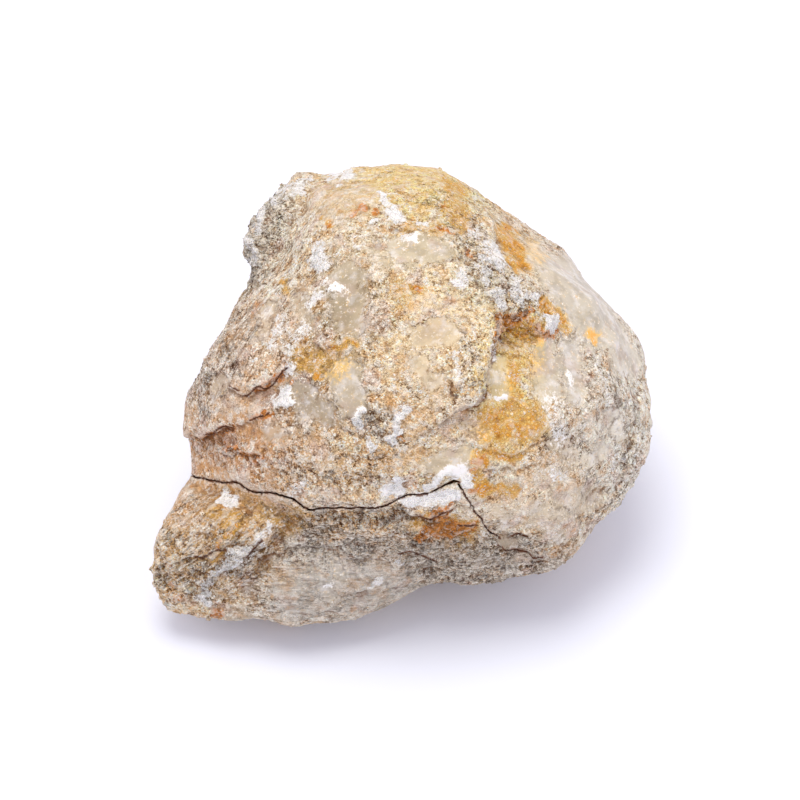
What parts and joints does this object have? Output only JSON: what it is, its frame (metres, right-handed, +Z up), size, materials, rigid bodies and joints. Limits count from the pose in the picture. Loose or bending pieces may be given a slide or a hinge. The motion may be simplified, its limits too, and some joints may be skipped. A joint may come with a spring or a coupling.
{
  "type": "broken calcite geode",
  "caption": "Fist-sized lump of calcite geode with a knobbly crust, smooth patches of calcite, a broken lip over a small nook and a crack across its front, resting on a small flat spot.",
  "frame": {"origin": "middle of the flat spot that the stone rests on", "axes": "+Z up, +X across the broad face from the lobe's side to the shoulder, -Y towards the side that the broad face leans to, where the crack is"},
  "size_m": [0.1108, 0.0965, 0.0784],
  "materials": {
    "crusted_calcite": "matt sugary crust with smooth, faintly waxy patches"
  },
  "bodies": {
    "root": {"stone": "crusted_calcite"}
  },
  "joints": []
}
